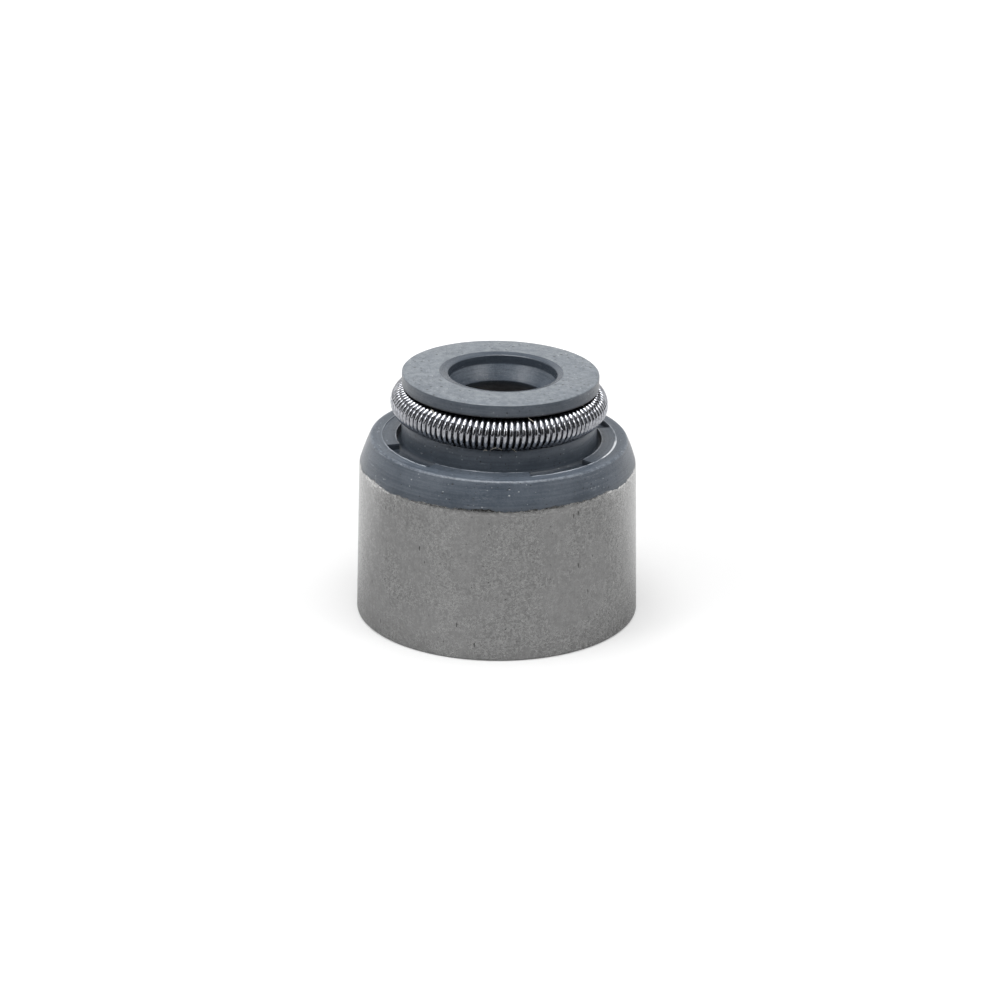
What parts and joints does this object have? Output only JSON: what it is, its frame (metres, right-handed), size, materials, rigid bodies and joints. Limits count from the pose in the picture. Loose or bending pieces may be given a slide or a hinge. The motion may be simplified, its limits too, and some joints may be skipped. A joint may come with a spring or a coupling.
{
  "type": "valve stem seal",
  "caption": "Valve stem seal: cup-shaped steel case lined and topped with moulded rubber, its sealing lip pressed in by a coiled garter spring.",
  "frame": {"origin": "on the seal's axis, in the plane of the case's open end, which is the lowest face", "axes": "+Z along the stem's axis, from the open end towards the sealing lip; -Y towards the viewer of the picture"},
  "size_m": [0.014, 0.014, 0.0124],
  "materials": {
    "steel": "matt grey pressed sheet steel with a fine mottled grain",
    "rubber": "satin blue-grey moulded fluoro rubber",
    "spring_steel": "bright drawn spring wire"
  },
  "bodies": {
    "root": {"steel_case": "steel", "rubber_seal_body": "rubber", "garter_spring": "spring_steel"}
  },
  "joints": []
}
